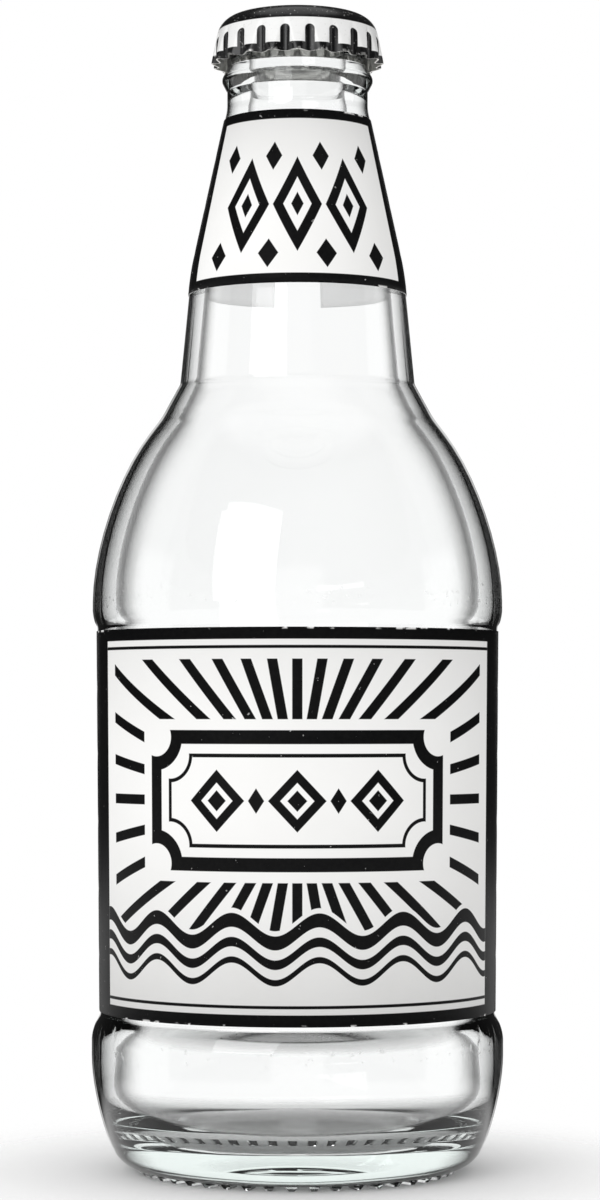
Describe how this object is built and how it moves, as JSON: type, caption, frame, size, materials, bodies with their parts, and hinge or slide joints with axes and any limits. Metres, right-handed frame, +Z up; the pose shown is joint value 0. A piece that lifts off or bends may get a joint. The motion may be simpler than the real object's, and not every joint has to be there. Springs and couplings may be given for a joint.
{
  "type": "glass soda bottle",
  "caption": "Clear glass soda bottle with a round shoulder, recessed label panel, paper labels on neck and body, and a pressed crown cap that lifts off.",
  "frame": {"origin": "on the bottle's axis, in the plane that its foot stands on", "axes": "+Z up along the bottle's axis, the label's front faces -Y, +X to the viewer's right"},
  "size_m": [0.068, 0.068, 0.192],
  "materials": {
    "glass": "clear, glossy",
    "label_paper": "uncoated paper, printed in black",
    "lacquered_tinplate": "white lacquer on tinplate",
    "liner_polymer": "moulded, matte"
  },
  "bodies": {
    "bottle": {"glass_bottle": "glass", "body_label": "label_paper", "neck_label": "label_paper"},
    "cap": {"crown_shell": "lacquered_tinplate", "cap_liner": "liner_polymer"}
  },
  "joints": [
    {"name": "cap_lift", "type": "slide", "parent": "bottle", "child": "cap", "axis": [0, 0, 1], "range_m": [0, 0.06]}
  ]
}
